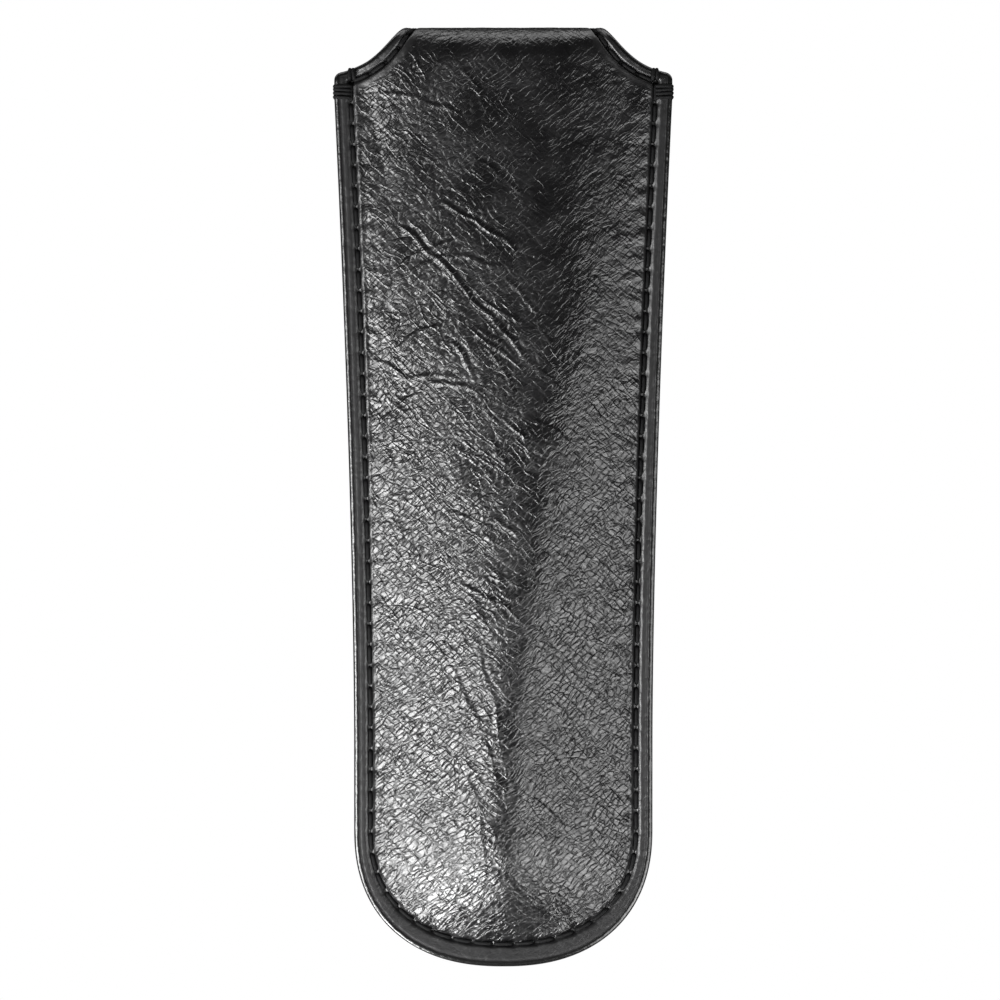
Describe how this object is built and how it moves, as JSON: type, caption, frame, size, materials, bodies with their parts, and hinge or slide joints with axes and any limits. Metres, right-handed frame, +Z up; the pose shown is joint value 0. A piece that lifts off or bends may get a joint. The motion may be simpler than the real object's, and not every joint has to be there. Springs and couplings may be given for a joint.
{
  "type": "fountain pen case",
  "caption": "Black leather pen case, a sewn pouch with a rounded end and a flap that folds over its mouth, lying with its back up.",
  "frame": {"origin": "bottom centre of the closed case as it lies on its flap with its back up", "axes": "+X across the width, +Y towards the mouth and the fold, +Z up out of the back"},
  "size_m": [0.0594, 0.1654, 0.0196],
  "materials": {
    "leather": "soft glossy",
    "lining": "matte",
    "board": "matte",
    "thread": "waxed",
    "steel": "satin",
    "magnet": "plated"
  },
  "bodies": {
    "pouch": {"back_leather": "leather", "back_stiffener": "board", "back_lining": "lining", "front_leather": "leather", "front_stiffener": "board", "front_lining": "lining", "keeper_disc": "steel", "seam_thread_back": "thread", "seam_thread_front": "thread", "mouth_thread": "thread", "notch_threads": "thread", "bartack_left": "thread", "bartack_right": "thread"},
    "neck": {"neck_leather": "leather", "neck_lining": "lining", "neck_threads": "thread"},
    "flap": {"flap_leather": "leather", "flap_stiffener": "board", "flap_magnet": "magnet", "flap_lining": "lining", "flap_thread": "thread"}
  },
  "joints": [
    {"name": "neck_fold", "type": "hinge", "parent": "pouch", "child": "neck", "pos_m": [0, 0.08062, 0.01632], "axis": [1, 0, 0], "range_deg": [0, 90]},
    {"name": "flap_fold", "type": "hinge", "parent": "neck", "child": "flap", "pos_m": [0, 0.08062, 0.00168], "axis": [1, 0, 0], "range_deg": [0, 90]}
  ],
  "couplings": [
    {"joint": "flap_fold", "follows": "neck_fold", "ratio": 1}
  ]
}
